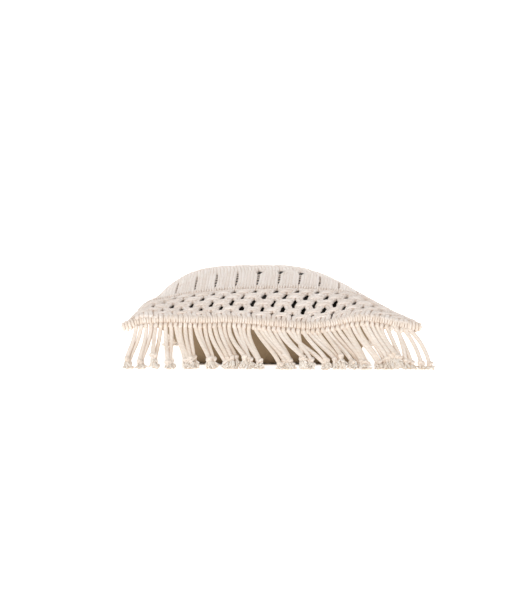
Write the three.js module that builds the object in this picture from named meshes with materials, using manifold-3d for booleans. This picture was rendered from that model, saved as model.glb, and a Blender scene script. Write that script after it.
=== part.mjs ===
// Square floor cushion: a cover knotted from cotton cord, with a fringe of knotted
// cords along its front and rear edges, over a canvas cover closed by a zip, with a
// stuffed pad inside.
// Millimetres, +Z up, front towards -Y, origin on the floor under the centre.

import * as THREE from 'three';
import Module from 'manifold-3d';
import { mergeVertices } from 'three/addons/utils/BufferGeometryUtils.js';

const wasm = await Module();
wasm.setup();

// ---- driving dimensions of the cushion ----
const HALF_WIDTH = 250; // X, at the corners
const HALF_DEPTH = 250; // Y, to the middle of each edge bar
const SIDE_PULL_IN = 3; // how far each side draws in between its corners
const SEAM_HEIGHT = 74; // floor to the middle of an edge bar
const RIM = 9; // half the thickness left at the outline
const CROWN_RISE = 98; // from the rim to the highest point
const CROWN_U = 0.04; // the highest point lies right of the centre
const CROWN_POWER_LEFT = 4.8; // fuller on the left
const CROWN_POWER_RIGHT = 2.1;
const CROWN_EASE_RIGHT = 1.5; // flatter slope towards the right-hand side
const CROWN_POWER_DEPTH = 2.3;
const BELLY_DROP = 95; // how far the underside hangs before the floor stops it
// the underside turns up beyond this part of the half size, over this share of it
const BELLY_ACROSS = { shoulder: 0.44, width: 0.27 };
const BELLY_ALONG = { shoulder: 0.54, width: 0.175 };
const BELLY_CUT = 0.06; // outside this trace of the belly the rim is flat underneath
const FLOOR_BLEND = 10; // softness of the turn from the flat base into the belly

// ---- layers, measured square to the surface, from the outside in ----
const GAP = 0.4;
const KNOTWORK = 7; // thickness of the knotted panels
const BAR_RAISE = 1.5; // how far the inner bars stand proud
const CANVAS = 1.2;
const BASE_CANVAS = 1.4;
const TICKING = 0.8; // cloth of the pad's casing
const LINING_DEPTH = KNOTWORK + 2 * GAP;
const CASING_TOP_DEPTH = LINING_DEPTH + CANVAS + 2 * GAP;
const FILLING_TOP_DEPTH = CASING_TOP_DEPTH + TICKING + 2 * GAP;
const CASING_BASE_DEPTH = 5.6; // leaves room for the inner plate of the zip slider
const FILLING_BASE_DEPTH = CASING_BASE_DEPTH + TICKING + 3 * GAP;

// ---- zones of the knotted cover, as parts of the half depth ----
const NET_EDGE = 0.958;
const NET_INNER = 0.712;
const BAND_OUTER = 0.672;
const BAND_INNER = 0.4;
const ZONE_GAP = GAP / 2 / HALF_DEPTH;

// ---- edge bars, side cords and fringe ----
const BAR_RADIUS = 9.5;
const BAR_HALF_LENGTH = 262;
const SIDE_CORD_RADIUS = 3;
const SIDE_CORD_HALF_LENGTH = 236;
const FRINGE_HALF_WIDTH = 240;
const FRINGE_BUNDLES = 7;
const BUNDLE_GAP = 1;
// sideways lean at the floor: of the middle cords, how it grows from left to right, and
// how much of it both ends lose
const FRINGE_SWEEP = 33;
const FRINGE_SPLAY = 26;
const FRINGE_SETTLE = 17.5;
const REAR_LEAN = 0.15; // the rear fringe hangs almost straight
// outward reach, height, half thickness and share of the sweep, from the floor up
const FRINGE_PROFILE = [
  { out: 37, z: 0, half: 5, sweep: 1 },
  { out: 35.5, z: 7, half: 7, sweep: 0.94 },
  { out: 31.5, z: 15, half: 6, sweep: 0.85 },
  { out: 27, z: 21, half: 3.4, sweep: 0.76 },
  { out: 16, z: 36, half: 3.2, sweep: 0.5 },
  { out: 6, z: 50, half: 3.2, sweep: 0.22 },
  { out: 0, z: 63, half: 3, sweep: 0 },
];

// ---- zip in the underside, near the rear edge ----
const ZIP_V = 0.89;
const ZIP_HALF_U = 0.6;
const ZIP_CHAIN_HALF = 140;
const SLOT_HALF_V = 0.028;
const TAPE_OUTER_V = 0.044;
const TAPE_INNER_V = 0.0208;
const TAPE_DEPTH = 1.8;
const TAPE = 1;
const TOOTH_PITCH = 8;
const TOOTH_TIP = 1.1; // from the middle of the chain
const TOOTH_ROOT = 3;
const TOOTH_SPINE = 4.3;
const TOOTH_TOP = -0.9; // outer face of the teeth, measured outwards from the canvas
const TOOTH_THICKNESS = 2.4;
const SLIDER_X = 130; // closed position
const SLIDER_LENGTH = 12;
const TAB_PIVOT = 3.1; // height of the pull tab's pivot over the canvas

const COLOUR = {
  cord: 0xece3d6,
  lining: 0x6f6256,
  base: 0xb3a484,
  ticking: 0xf2f0ea,
  fibre: 0xfafaf7,
  tape: 0xa89a7c,
  metal: 0xb59a63,
};

const cushion = new THREE.Group();
cushion.name = 'floor_cushion';

function add(name, geometry, colour, roughness = 0.95, metalness = 0) {
  geometry.computeVertexNormals();
  const material = new THREE.MeshStandardMaterial({ color: colour, roughness, metalness });
  material.side = THREE.DoubleSide;
  const mesh = new THREE.Mesh(geometry, material);
  mesh.name = name;
  cushion.add(mesh);
}

// ---- the cushion's form: u and v run from -1 to 1 across the width and the depth ----
const planX = (u, v) => u * (HALF_WIDTH - SIDE_PULL_IN * (1 - v * v));

function crownAcross(u) {
  const s = (u - CROWN_U) / (1 - CROWN_U * u);
  const left = 1 - Math.abs(s) ** CROWN_POWER_LEFT;
  const right = Math.max(0, 1 - Math.abs(s) ** CROWN_POWER_RIGHT) ** CROWN_EASE_RIGHT;
  return s < 0 ? left : right;
}

const crownAlong = (v) => 1 - Math.abs(v) ** CROWN_POWER_DEPTH;

function topSurface(u, v) {
  const z = SEAM_HEIGHT + RIM + CROWN_RISE * crownAcross(u) * crownAlong(v);
  return new THREE.Vector3(planX(u, v), v * HALF_DEPTH, z);
}

function belly(t, { shoulder, width }) {
  const past = Math.max(0, Math.abs(t) - shoulder) / width;
  return Math.exp(-past * past);
}

function underSurface(u, v) {
  const full = belly(u, BELLY_ACROSS) * belly(v, BELLY_ALONG);
  const hang = Math.max(0, (full - BELLY_CUT) / (1 - BELLY_CUT));
  const free = SEAM_HEIGHT - RIM - BELLY_DROP * hang;
  let z = Math.max(free, 0);
  if (Math.abs(free) < FLOOR_BLEND) {
    z = (free + FLOOR_BLEND) ** 2 / (4 * FLOOR_BLEND);
  }
  return new THREE.Vector3(planX(u, v), v * HALF_DEPTH, z);
}

// upward normal of a surface by central differences
function upNormal(surface, u, v) {
  const h = 1e-4;
  const across = surface(u + h, v).sub(surface(u - h, v));
  const along = surface(u, v + h).sub(surface(u, v - h));
  return across.cross(along).normalize();
}

const below = (depth) => (u, v) =>
  topSurface(u, v).addScaledVector(upNormal(topSurface, u, v), -depth);

const above = (depth) => (u, v) =>
  underSurface(u, v).addScaledVector(upNormal(underSurface, u, v), depth);

const mirrored = (half) => [...half.slice(1).reverse().map((t) => -t), ...half];

const topAcross = (rim) => mirrored([0, 0.25, 0.48, 0.68, 0.82, 0.9, 0.945, rim]);
const topAlong = (rim) =>
  mirrored([0, 0.22, BAND_INNER, 0.55, BAND_OUTER, NET_INNER, 0.83, 0.9, rim]);
const baseAcross = (rim) => mirrored([0, 0.3, 0.45, ZIP_HALF_U, 0.62, 0.7, 0.82, rim]);
const baseAlong = (rim) => mirrored([0, 0.3, 0.54, 0.61, 0.68, 0.76, 0.84, 0.92, rim]);

const grid = (us, vs, point) => vs.map((v) => us.map((u) => point(u, v)));

// closed solid between an upper and a lower grid of points of equal size
function solidBetween(upper, lower) {
  const rows = upper.length;
  const cols = upper[0].length;
  const points = [...upper.flat(), ...lower.flat()];
  const at = (side, r, c) => (side * rows + r) * cols + c;
  const index = [];
  const quad = (a, b, c, d) => index.push(a, b, c, a, c, d);
  for (let r = 0; r < rows - 1; r++) {
    for (let c = 0; c < cols - 1; c++) {
      quad(at(0, r, c), at(0, r, c + 1), at(0, r + 1, c + 1), at(0, r + 1, c));
      quad(at(1, r, c), at(1, r + 1, c), at(1, r + 1, c + 1), at(1, r, c + 1));
    }
  }
  const lastRow = rows - 1;
  const lastCol = cols - 1;
  for (let c = 0; c < lastCol; c++) {
    quad(at(0, 0, c), at(1, 0, c), at(1, 0, c + 1), at(0, 0, c + 1));
    quad(at(0, lastRow, c), at(0, lastRow, c + 1), at(1, lastRow, c + 1), at(1, lastRow, c));
  }
  for (let r = 0; r < lastRow; r++) {
    quad(at(0, r, 0), at(0, r + 1, 0), at(1, r + 1, 0), at(1, r, 0));
    quad(at(0, r, lastCol), at(1, r, lastCol), at(1, r + 1, lastCol), at(0, r + 1, lastCol));
  }
  const geometry = new THREE.BufferGeometry().setFromPoints(points);
  geometry.setIndex(index);
  return geometry;
}

// one layer of the top, between two depths under the outer surface
function topLayer(us, vs, depth, thickness) {
  return solidBetween(grid(us, vs, below(depth)), grid(us, vs, below(depth + thickness)));
}

function baseLayer(us, vs, depth, thickness) {
  return solidBetween(grid(us, vs, above(depth + thickness)), grid(us, vs, above(depth)));
}

// ---- pad: filling and its two-part casing ----
add(
  'fibre_filling',
  solidBetween(
    grid(topAcross(0.955), topAlong(0.935), below(FILLING_TOP_DEPTH)),
    grid(baseAcross(0.955), baseAlong(0.935), above(FILLING_BASE_DEPTH)),
  ),
  COLOUR.fibre,
);
add(
  'pad_casing_top',
  topLayer(topAcross(0.972), topAlong(0.948), CASING_TOP_DEPTH, TICKING),
  COLOUR.ticking,
);
add(
  'pad_casing_bottom',
  baseLayer(baseAcross(0.972), baseAlong(0.948), CASING_BASE_DEPTH, TICKING),
  COLOUR.ticking,
);

// ---- canvas cover: lining under the knotwork, two panels underneath ----
add('cover_lining', topLayer(topAcross(0.985), topAlong(0.955), LINING_DEPTH, CANVAS), COLOUR.lining);

// a base panel follows the zip slot, and closes to the seam beyond the slot's ends
function basePanel(vs, side) {
  const us = baseAcross(0.985);
  const seam = ZIP_V + side * ZONE_GAP;
  const slot = ZIP_V + side * SLOT_HALF_V;
  const panelV = (u, v) => {
    if (v !== 'zip') return v;
    return Math.abs(u) <= ZIP_HALF_U ? slot : seam;
  };
  const surface = (depth) => (u, v) => above(depth)(u, panelV(u, v));
  return solidBetween(grid(us, vs, surface(BASE_CANVAS)), grid(us, vs, surface(0)));
}

const frontRows = baseAlong(0.955).filter((v) => v < ZIP_V - SLOT_HALF_V);
add('base_panel_front', basePanel([...frontRows, 'zip'], -1), COLOUR.base);
add('base_panel_rear', basePanel(['zip', 0.935, 0.955], 1), COLOUR.base);

// ---- zip ----
// local frame of the zip: X along it, Y across it, Z outwards from the canvas
function onZip(geometry, x = 0) {
  geometry.rotateX(Math.PI);
  return geometry.translate(x, ZIP_V * HALF_DEPTH, SEAM_HEIGHT - RIM);
}

function box(sizeX, sizeY, z0, z1, x = 0) {
  return new THREE.BoxGeometry(sizeX, sizeY, z1 - z0).translate(x, 0, (z0 + z1) / 2);
}

const tapeAcross = [-ZIP_HALF_U + 0.005, 0, ZIP_HALF_U - 0.005];
for (const [name, side] of [['zip_tape_front', -1], ['zip_tape_rear', 1]]) {
  const rows = [TAPE_INNER_V, (TAPE_INNER_V + TAPE_OUTER_V) / 2, TAPE_OUTER_V];
  const vs = rows.map((t) => ZIP_V + side * t).sort((a, b) => a - b);
  add(name, baseLayer(tapeAcross, vs, TAPE_DEPTH, TAPE), COLOUR.tape);
}

// a row of teeth on its spine; the two rows are offset by half a pitch
function teethRow(side) {
  const outline = new THREE.Shape();
  outline.moveTo(-ZIP_CHAIN_HALF, side * TOOTH_SPINE);
  outline.lineTo(-ZIP_CHAIN_HALF, side * TOOTH_ROOT);
  const first = -ZIP_CHAIN_HALF + (side > 0 ? 1 : 1 + TOOTH_PITCH / 2);
  for (let x = first; x + TOOTH_PITCH / 2 < ZIP_CHAIN_HALF; x += TOOTH_PITCH) {
    outline.lineTo(x, side * TOOTH_ROOT);
    outline.lineTo(x + 0.8, side * TOOTH_TIP);
    outline.lineTo(x + 3, side * TOOTH_TIP);
    outline.lineTo(x + 3.8, side * TOOTH_ROOT);
  }
  outline.lineTo(ZIP_CHAIN_HALF, side * TOOTH_ROOT);
  outline.lineTo(ZIP_CHAIN_HALF, side * TOOTH_SPINE);
  const options = { depth: TOOTH_THICKNESS, bevelEnabled: false };
  const row = new THREE.ExtrudeGeometry(outline, options);
  return onZip(row.translate(0, 0, TOOTH_TOP - TOOTH_THICKNESS));
}

add('zip_teeth_front', teethRow(1), COLOUR.metal, 0.35, 0.9);
add('zip_teeth_rear', teethRow(-1), COLOUR.metal, 0.35, 0.9);
for (const [name, side] of [['zip_stop_left', -1], ['zip_stop_right', 1]]) {
  add(name, onZip(box(4, 8.6, -3.3, -0.9, side * 143)), COLOUR.metal, 0.35, 0.9);
}

function toManifold(geometry) {
  geometry.deleteAttribute('normal');
  geometry.deleteAttribute('uv');
  const welded = mergeVertices(geometry, 1e-4);
  return new wasm.Manifold(new wasm.Mesh({
    numProp: 3,
    vertProperties: new Float32Array(welded.attributes.position.array),
    triVerts: new Uint32Array(welded.index.array),
  }));
}

function union(parts) {
  const mesh = wasm.Manifold.union(parts.map(toManifold)).getMesh();
  const geometry = new THREE.BufferGeometry();
  geometry.setAttribute('position', new THREE.BufferAttribute(mesh.vertProperties, 3));
  geometry.setIndex(new THREE.BufferAttribute(mesh.triVerts, 1));
  return geometry;
}

// slider: outer and inner plates joined by a web between the teeth, with a bridge
// over the outer plate that holds the pull tab
const slider = union([
  box(SLIDER_LENGTH, 11, -0.4, 1.6),
  box(SLIDER_LENGTH, 11, -5, -3.8),
  box(SLIDER_LENGTH, 1.2, -4.2, 0),
  box(1, 3.6, 1, 5.4, -2.7),
  box(1, 3.6, 1, 5.4, 2.7),
  box(6.4, 3.6, 4.5, 5.4),
]);
add('zip_slider', onZip(slider, SLIDER_X), COLOUR.metal, 0.35, 0.9);

// pull tab: a ring round the slider's bridge, then a flat tab with a hole
function pullTab() {
  const outline = new THREE.Shape([
    new THREE.Vector2(-3.8, -0.8),
    new THREE.Vector2(3.8, -0.8),
    new THREE.Vector2(3.8, 6),
    new THREE.Vector2(5, 18),
    new THREE.Vector2(3.6, 20),
    new THREE.Vector2(-3.6, 20),
    new THREE.Vector2(-5, 18),
    new THREE.Vector2(-3.8, 6),
  ]);
  const ring = new THREE.Path([
    new THREE.Vector2(-2.4, 0.8),
    new THREE.Vector2(-2.4, 4.8),
    new THREE.Vector2(2.4, 4.8),
    new THREE.Vector2(2.4, 0.8),
  ]);
  const eye = new THREE.Path();
  eye.absarc(0, 15.4, 2, 0, 2 * Math.PI, true);
  outline.holes.push(ring, eye);
  const options = { depth: 1.2, bevelEnabled: false, curveSegments: 6 };
  const tab = new THREE.ExtrudeGeometry(outline, options).translate(0, 0, -0.6);
  // stand the outline up so that it lies across the zip and points outwards
  tab.applyMatrix4(new THREE.Matrix4().makeBasis(
    new THREE.Vector3(0, 1, 0),
    new THREE.Vector3(0, 0, 1),
    new THREE.Vector3(1, 0, 0),
  ));
  return onZip(tab.translate(0, 0, TAB_PIVOT), SLIDER_X);
}

add('zip_pull_tab', pullTab(), COLOUR.metal, 0.35, 0.9);

// ---- knotted cover ----
const zone = (from, to) => [from + ZONE_GAP, to - ZONE_GAP];
const coverAcross = topAcross(1);

function netPanel(rows, raise = 0) {
  const vs = [...rows].sort((a, b) => a - b);
  vs[0] += ZONE_GAP;
  vs[vs.length - 1] -= ZONE_GAP;
  return topLayer(coverAcross, vs, -raise, KNOTWORK + raise);
}

for (const [end, side] of [['front', -1], ['rear', 1]]) {
  const rows = (...vs) => vs.map((v) => side * v);
  add(`net_${end}`, netPanel(rows(NET_EDGE, 0.9, 0.83, NET_INNER)), COLOUR.cord);
  add(`inner_bar_${end}`, netPanel(rows(NET_INNER, BAND_OUTER), BAR_RAISE), COLOUR.cord);
  add(`sennit_band_${end}`, netPanel(rows(BAND_OUTER, 0.55, BAND_INNER)), COLOUR.cord);
}
add('crown_panel', netPanel([-BAND_INNER, -0.22, 0, 0.22, BAND_INNER]), COLOUR.cord);

// edge bars: thick rows of knots with wrapped, rounded ends beyond the corners
function edgeBar(side) {
  const end = BAR_HALF_LENGTH;
  const profile = [
    [0, -end],
    [6.5, -end],
    [BAR_RADIUS, 4 - end],
    [BAR_RADIUS, end - 4],
    [6.5, end],
    [0, end],
  ].map(([radius, along]) => new THREE.Vector2(radius, along));
  const bar = new THREE.LatheGeometry(profile, 16).rotateZ(-Math.PI / 2);
  return bar.translate(0, side * HALF_DEPTH, SEAM_HEIGHT);
}

add('edge_bar_front', edgeBar(-1), COLOUR.cord);
add('edge_bar_rear', edgeBar(1), COLOUR.cord);

// side cords: whip the knotted cover to the canvas along the two plain sides
class SideLine extends THREE.Curve {
  constructor(side) {
    super();
    this.side = side;
  }

  getPoint(t, target = new THREE.Vector3()) {
    const y = (2 * t - 1) * SIDE_CORD_HALF_LENGTH;
    const x = planX(1, y / HALF_DEPTH) + SIDE_CORD_RADIUS + GAP;
    return target.set(this.side * x, y, SEAM_HEIGHT);
  }
}

function sideCord(side) {
  const section = new THREE.Shape();
  section.absarc(0, 0, SIDE_CORD_RADIUS, 0, 2 * Math.PI, false);
  const options = { extrudePath: new SideLine(side), steps: 12, curveSegments: 4, bevelEnabled: false };
  return new THREE.ExtrudeGeometry(section, options);
}

add('side_cord_left', sideCord(-1), COLOUR.cord);
add('side_cord_right', sideCord(1), COLOUR.cord);

// ---- fringe: each bundle is eight cords with knotted, frayed ends on the floor ----
function sweepAt(x) {
  const s = x / FRINGE_HALF_WIDTH;
  return FRINGE_SWEEP + FRINGE_SPLAY * s - FRINGE_SETTLE * s * s;
}

function fringeBundle(x0, x1, lean) {
  const xs = [0, 1 / 3, 2 / 3, 1].map((t) => THREE.MathUtils.lerp(x0, x1, t));
  const face = (side) => FRINGE_PROFILE.map(({ out, z, half, sweep }) =>
    xs.map((x) => new THREE.Vector3(x + lean * sweep * sweepAt(x), -HALF_DEPTH - out - side * half, z)));
  return solidBetween(face(1), face(-1));
}

const bundleWidth = (2 * FRINGE_HALF_WIDTH) / FRINGE_BUNDLES;
for (let i = 0; i < FRINGE_BUNDLES; i++) {
  const x0 = -FRINGE_HALF_WIDTH + i * bundleWidth + BUNDLE_GAP;
  const x1 = x0 + bundleWidth - 2 * BUNDLE_GAP;
  add(`fringe_front_${i + 1}`, fringeBundle(x0, x1, 1), COLOUR.cord);
  const rear = fringeBundle(x0, x1, REAR_LEAN).rotateZ(Math.PI);
  add(`fringe_rear_${i + 1}`, rear, COLOUR.cord);
}

export default cushion;
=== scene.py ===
"""Floor cushion with a knotted cord cover: the visual model on the CAD frame."""
import math

import bpy
import numpy as np
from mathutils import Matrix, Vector
from mathutils.kdtree import KDTree


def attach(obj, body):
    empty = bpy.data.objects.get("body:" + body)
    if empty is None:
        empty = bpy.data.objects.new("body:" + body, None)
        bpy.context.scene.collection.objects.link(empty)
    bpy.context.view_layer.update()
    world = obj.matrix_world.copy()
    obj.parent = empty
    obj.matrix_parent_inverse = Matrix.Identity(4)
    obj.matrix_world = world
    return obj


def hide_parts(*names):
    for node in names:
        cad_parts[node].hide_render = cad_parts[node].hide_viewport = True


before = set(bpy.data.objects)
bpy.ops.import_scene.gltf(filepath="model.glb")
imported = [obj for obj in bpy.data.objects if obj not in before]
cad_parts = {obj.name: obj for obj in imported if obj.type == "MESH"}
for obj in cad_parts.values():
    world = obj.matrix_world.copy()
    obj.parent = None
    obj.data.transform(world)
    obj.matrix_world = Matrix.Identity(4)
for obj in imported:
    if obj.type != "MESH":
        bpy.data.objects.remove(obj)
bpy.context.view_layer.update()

rng = np.random.default_rng(11)
MM = 0.001

# ---------------------------------------------------------------- form (mm)
# u runs across the cover and v from front to rear, both from -1 to 1.
HALF = 250.0
PULL_IN = 3.0  # how far the plain sides curve in
SEAM = 74.0  # height of the seam, and of the middle of a straight edge bar
RIM = 9.0  # the edge of the knotwork stands this far over the seam
KNOTWORK = 7.0  # thickness of the knotwork
CROWN, CROWN_U = 98.0, 0.04  # rise of the crown over the rim, and its place across
POWER_LEFT, POWER_RIGHT, EASE_RIGHT, POWER_DEPTH = 4.8, 2.1, 1.5, 2.3
TILT = 20.0  # the front face rises to the right of the middle and sinks to the left
CORNER = 10.0  # the front left corner is packed fuller than the others
CORNER_AT, CORNER_SIZE = (-0.89, -0.8), (0.085, 0.24)
BELLY_DROP, BELLY_CUT, FLOOR_BLEND = 95.0, 0.06, 10.0
BELLY_ACROSS, BELLY_ALONG = (0.44, 0.27), (0.54, 0.175)  # shoulder, width
# v at the outer and inner limits of the net and of the band of sennits
NET_EDGE, NET_INNER, BAND_OUTER, BAND_INNER = 0.958, 0.712, 0.672, 0.4
BAND_MIDDLE = 0.55
COLUMNS = 14
CORDS = 56
FRINGE_HALF = 240.0
BULGE = 0.17  # how much the columns spread over the crown
# the columns lean sideways on their way up, by about LEAN at the most
LEAN, LEAN_FADE, LEAN_SCALE = 14.0, 1.38, 0.183
WAVE_END = 0.1  # the front edge's wave has faded out at this v
# height of the middle of the front edge bar along X
BAR_X = [-264, -254, -234, -205, -165, -110, -80, -45, 0, 33, 54, 90, 117, 138, 159, 190, 223, 250, 264]
BAR_Z = [71, 73, 80.5, 83.6, 84.5, 83.2, 84.8, 82.4, 78.2, 75.6, 73.8, 75.6]
BAR_Z += [80.2, 85, 87.6, 84, 77, 72.8, 71.5]


def smooth_line(x, xs, ys):
    """Smooth cubic through the points, for arrays; it stays level beyond the ends."""
    xs, ys = np.asarray(xs, float), np.asarray(ys, float)
    m = np.gradient(ys, xs)
    x = np.clip(x, xs[0], xs[-1])
    i = np.clip(np.searchsorted(xs, x) - 1, 0, len(xs) - 2)
    h = xs[i + 1] - xs[i]
    t = (x - xs[i]) / h
    return (
        (1 + 2 * t) * (1 - t) ** 2 * ys[i]
        + t * (1 - t) ** 2 * h * m[i]
        + t * t * (3 - 2 * t) * ys[i + 1]
        + t * t * (t - 1) * h * m[i + 1]
    )


def wave(x, v):
    """How far the front edge rides up or down, fading out towards the middle."""
    fade = np.clip((WAVE_END - v) / (1 + WAVE_END), 0, 1) ** 2
    return (smooth_line(x, BAR_X, BAR_Z) - SEAM) * fade


def plan_x(u, v):
    return u * (HALF - PULL_IN * (1 - v * v))


def crown_across(u):
    """Share of the crown's rise across the cover: blunt at the left, eased at the right."""
    s = (u - CROWN_U) / (1 - CROWN_U * u)
    left = 1 - np.abs(s) ** POWER_LEFT
    right = np.clip(1 - np.abs(s) ** POWER_RIGHT, 0, None) ** EASE_RIGHT
    return np.where(s < 0, left, right)


def top(u, v):
    """Outer face of the knotwork."""
    x, y = plan_x(u, v), v * HALF
    z = SEAM + RIM + CROWN * crown_across(u) * (1 - np.abs(v) ** POWER_DEPTH)
    slope = np.clip(-v, 0, 1) ** 2
    z = z + TILT * u * (1 - u * u) * 4 * slope * (1 - slope)
    across = (u - CORNER_AT[0]) / CORNER_SIZE[0]
    along = (v - CORNER_AT[1]) / CORNER_SIZE[1]
    z = z + CORNER * np.exp(-(across**2) - along**2)
    return np.stack([x, y, z + wave(x, v)], -1)


def belly(t, shape):
    shoulder, width = shape
    return np.exp(-((np.clip(np.abs(t) - shoulder, 0, None) / width) ** 2))


def under(u, v):
    """Outer face of the canvas underneath, flat on the floor in the middle."""
    full = belly(u, BELLY_ACROSS) * belly(v, BELLY_ALONG)
    hang = np.clip((full - BELLY_CUT) / (1 - BELLY_CUT), 0, None)
    free = SEAM - RIM - BELLY_DROP * hang
    eased = (free + FLOOR_BLEND) ** 2 / (4 * FLOOR_BLEND)
    z = np.where(np.abs(free) < FLOOR_BLEND, eased, np.clip(free, 0, None))
    x = plan_x(u, v)
    lift = wave(x, v) * np.clip(z / (SEAM - RIM), 0, 1)
    return np.stack([x + 0 * z, v * HALF + 0 * z, z + lift], -1)


def unit(a):
    return a / np.maximum(np.linalg.norm(a, axis=-1, keepdims=True), 1e-9)


def up_normal(surface, u, v):
    h = 1e-3
    du = surface(u + h, v) - surface(u - h, v)
    dv = surface(u, v + h) - surface(u, v - h)
    return unit(np.cross(du, dv))


def on_cover(a, v, h):
    """Point and normal of the knotwork: a is the distance across at the edge, h the
    height over the underside of the knotwork."""
    v = np.broadcast_to(v, np.shape(a)) if np.ndim(v) == 0 else v
    u = a / HALF
    middle = np.clip(1 - v * v, 0, 1)
    u = u * (1 + BULGE * (1 - u * u) * np.sqrt(middle))
    w = np.clip(np.abs(v), 0, 1)
    u = u - LEAN / HALF * np.sign(v) * w * (1 - w) ** LEAN_FADE / LEAN_SCALE * (1 - u * u)
    n = up_normal(top, u, v)
    return top(u, v) + n * (h - KNOTWORK)[..., None], n


# ---------------------------------------------------------------- mesh helpers
TWIST_START = 100  # mm: each cord's twist starts somewhere within this length
UV_PER_MM = 0.1


class Tubes:
    """Collects tubes as one mesh with a UV map round and along each cord."""

    def __init__(self):
        self.verts, self.quads, self.uv, self.tone, self.count = [], [], [], [], 0

    def add(self, points, ref, radius, sides=8, squash=1.0, closed=False, caps=True):
        """points (tubes, steps, 3); ref is roughly square to the path; radius is a
        number or (tubes, steps); squash flattens along ref."""
        P = np.asarray(points, float)
        n, m, _ = P.shape
        if closed:
            T = np.roll(P, -1, 1) - np.roll(P, 1, 1)
        else:
            T = np.gradient(P, axis=1)
        T = unit(T)
        ref = np.broadcast_to(ref, P.shape)
        B = unit(np.cross(T, ref))
        N = np.cross(B, T)
        r = np.broadcast_to(np.asarray(radius, float), (n, m))
        ang = np.arange(sides) / sides * 2 * math.pi
        ring = (
            P[:, :, None]
            + (r[..., None] * squash * np.cos(ang))[..., None] * N[:, :, None]
            + (r[..., None] * np.sin(ang))[..., None] * B[:, :, None]
        )
        if caps and not closed:
            tip = r[:, [0, -1]] * 0.6
            ends = P[:, [0, -1]] + T[:, [0, -1]] * (tip * np.array([-1, 1]))[..., None]
            small = ends[:, :, None] + (ring[:, [0, -1]] - P[:, [0, -1], None]) * 0.45
            ring = np.concatenate([small[:, :1], ring, small[:, 1:]], 1)
            P = np.concatenate([ends[:, :1], P, ends[:, 1:]], 1)
            m += 2
        along = np.linalg.norm(np.diff(P, axis=1), axis=-1)
        along = np.concatenate([np.zeros((n, 1)), np.cumsum(along, 1)], 1)
        along = along + rng.random((n, 1)) * TWIST_START
        i = np.arange(m if closed else m - 1)
        j = np.arange(sides)
        base = self.count + np.arange(n)[:, None, None] * m * sides
        row0, row1 = i[:, None] * sides, ((i + 1) % m)[:, None] * sides
        j0, j1 = j[None], ((j + 1) % sides)[None]
        q = np.stack([base + k for k in (row0 + j0, row0 + j1, row1 + j1, row1 + j0)], -1)
        shape = q.shape[:3]
        a0 = np.broadcast_to(along[:, i][:, :, None], shape)
        if closed:
            step = np.linalg.norm(np.roll(P, -1, 1) - P, axis=-1)
            a1 = a0 + np.broadcast_to(step[:, :, None], shape)
        else:
            a1 = np.broadcast_to(along[:, i + 1][:, :, None], shape)
        u0 = np.broadcast_to(j0 / sides, shape)
        u1 = u0 + 1 / sides
        uv = np.stack([np.stack(c, -1) for c in ((u0, a0), (u1, a0), (u1, a1), (u0, a1))], -2)
        self.verts.append(ring.reshape(-1, 3))
        self.quads.append(q.reshape(-1, 4))
        self.uv.append(uv.reshape(-1, 2))
        tone = rng.random(n)
        self.tone.append(np.repeat(tone, m * sides))
        self.count += n * m * sides
        if caps and not closed:
            first = (base[:, 0, 0][:, None] + j[None]).reshape(n, sides)
            last = first + (m - 1) * sides
            for loop, flip in ((first, True), (last, False)):
                centre = ring[:, 0 if flip else -1].mean(1)
                self.verts.append(centre)
                self.tone.append(tone)
                c = self.count + np.arange(n)
                self.count += n
                nxt = np.roll(loop, -1, 1)
                c4 = np.broadcast_to(c[:, None], loop.shape)
                tri = (nxt, loop, c4) if flip else (loop, nxt, c4)
                self.quads.append(np.stack([*tri, -np.ones_like(c4)], -1).reshape(-1, 4))
                self.uv.append(np.zeros((n * sides * 3, 2)))

    def build(self, name, material):
        """One object of all the tubes."""
        verts = np.concatenate(self.verts) * MM
        faces = np.concatenate(self.quads)
        quad = faces[:, 3] >= 0
        sizes = np.where(quad, 4, 3)
        starts = np.concatenate([[0], np.cumsum(sizes)[:-1]])
        mesh = bpy.data.meshes.new(name)
        mesh.vertices.add(len(verts))
        mesh.vertices.foreach_set("co", verts.ravel())
        loops = faces.ravel()[faces.ravel() >= 0]
        mesh.loops.add(len(loops))
        mesh.loops.foreach_set("vertex_index", loops.astype(np.int32))
        mesh.polygons.add(len(faces))
        mesh.polygons.foreach_set("loop_start", starts.astype(np.int32))
        mesh.update(calc_edges=True)
        layer = mesh.uv_layers.new(name="cord")
        layer.data.foreach_set("uv", (np.concatenate(self.uv) * [1, UV_PER_MM]).ravel())
        tone = mesh.attributes.new("tone", "FLOAT", "POINT")
        tone.data.foreach_set("value", np.concatenate(self.tone))
        mesh.polygons.foreach_set("use_smooth", np.ones(len(faces), bool))
        obj = bpy.data.objects.new(name, mesh)
        bpy.context.scene.collection.objects.link(obj)
        mesh.materials.append(material)
        return obj


# ---------------------------------------------------------------- materials
def node_material(name):
    mat = bpy.data.materials.new(name)
    mat.use_nodes = True
    tree = mat.node_tree
    bsdf = tree.nodes["Principled BSDF"]
    return mat, tree, bsdf


def link(tree, a, b):
    tree.links.new(a, b)


def math_node(tree, op, a, b=None, clamp=False):
    n = tree.nodes.new("ShaderNodeMath")
    n.operation = op
    n.use_clamp = clamp
    for k, x in enumerate((a, b)):
        if x is None:
            continue
        if isinstance(x, (int, float)):
            n.inputs[k].default_value = x
        else:
            link(tree, x, n.inputs[k])
    return n.outputs[0]


def ramp(tree, fac, stops):
    n = tree.nodes.new("ShaderNodeValToRGB")
    e = n.color_ramp.elements
    e[0].position, e[0].color = stops[0][0], (*stops[0][1], 1)
    e[1].position, e[1].color = stops[-1][0], (*stops[-1][1], 1)
    for pos, col in stops[1:-1]:
        x = e.new(pos)
        x.color = (*col, 1)
    link(tree, fac, n.inputs[0])
    return n.outputs[0]


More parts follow.
